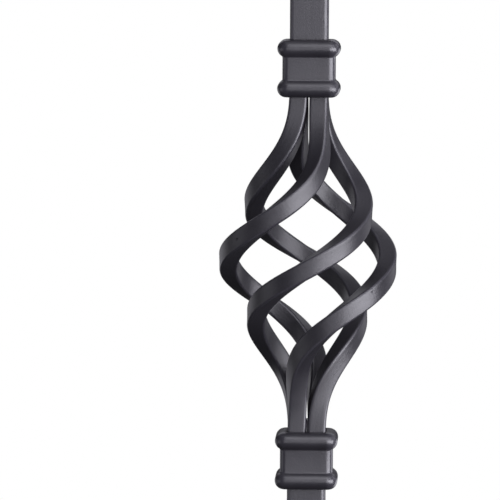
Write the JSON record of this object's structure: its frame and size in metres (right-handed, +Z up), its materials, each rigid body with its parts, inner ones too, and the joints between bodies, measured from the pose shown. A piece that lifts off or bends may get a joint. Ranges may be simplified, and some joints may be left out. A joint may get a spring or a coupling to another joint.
{
  "type": "iron stair baluster",
  "caption": "Square iron stair baluster with twisted lengths above and below an open basket of twisted rods between two knuckles, and a round tenon for the handrail.",
  "frame": {"origin": "middle of the underside of the bar's foot", "axes": "+Z up the bar towards the handrail tenon, -Y the front, flats of the bar across X and Y"},
  "size_m": [0.059, 0.059, 1.1176],
  "materials": {
    "powder_coated_steel": "satin black powder coat on mild steel bar",
    "powder_coated_casting": "satin black powder coat on a cast iron collar"
  },
  "bodies": {
    "root": {"lower_bar": "powder_coated_steel", "upper_bar": "powder_coated_steel", "lower_knuckle": "powder_coated_casting", "upper_knuckle": "powder_coated_casting", "basket_rod_1": "powder_coated_steel", "basket_rod_2": "powder_coated_steel", "basket_rod_3": "powder_coated_steel", "basket_rod_4": "powder_coated_steel"}
  },
  "joints": []
}
